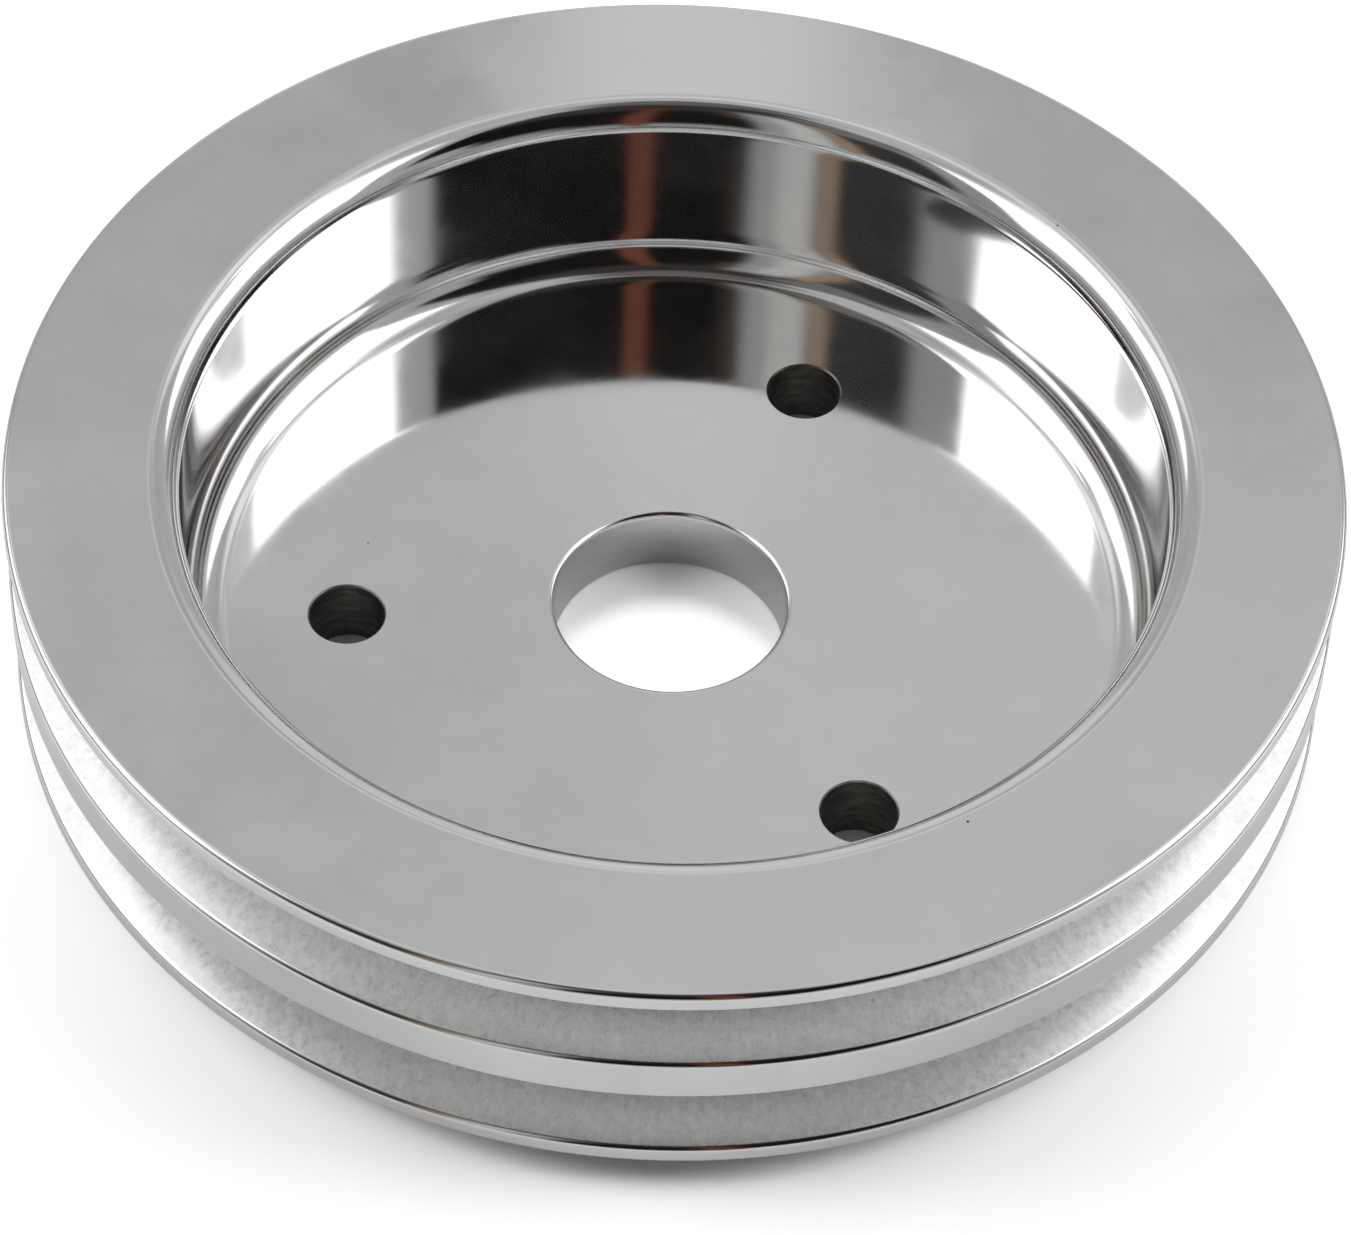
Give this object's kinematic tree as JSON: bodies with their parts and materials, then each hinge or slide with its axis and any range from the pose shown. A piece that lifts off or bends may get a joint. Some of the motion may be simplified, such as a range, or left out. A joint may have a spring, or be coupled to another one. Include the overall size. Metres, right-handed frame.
{
  "type": "crankshaft pulley",
  "caption": "Polished aluminium double V-groove crankshaft pulley: a deep cup with a bored, drilled web inside a grooved rim.",
  "frame": {"origin": "on the pulley's axis at the rear face of the hub, the plane where it seats and on which it stands", "axes": "+Z along the rotation axis, from the rear face to the open front of the cup; +X and +Y in the rear face, with the first bolt hole 66.4 degrees from +X towards +Y"},
  "size_m": [0.1778, 0.1778, 0.0392],
  "materials": {
    "polished_aluminium": "turned and hand polished, mirror bright in the cup, satin on the front face and the groove flanks"
  },
  "bodies": {
    "root": {"crank_pulley": "polished_aluminium"}
  },
  "joints": []
}
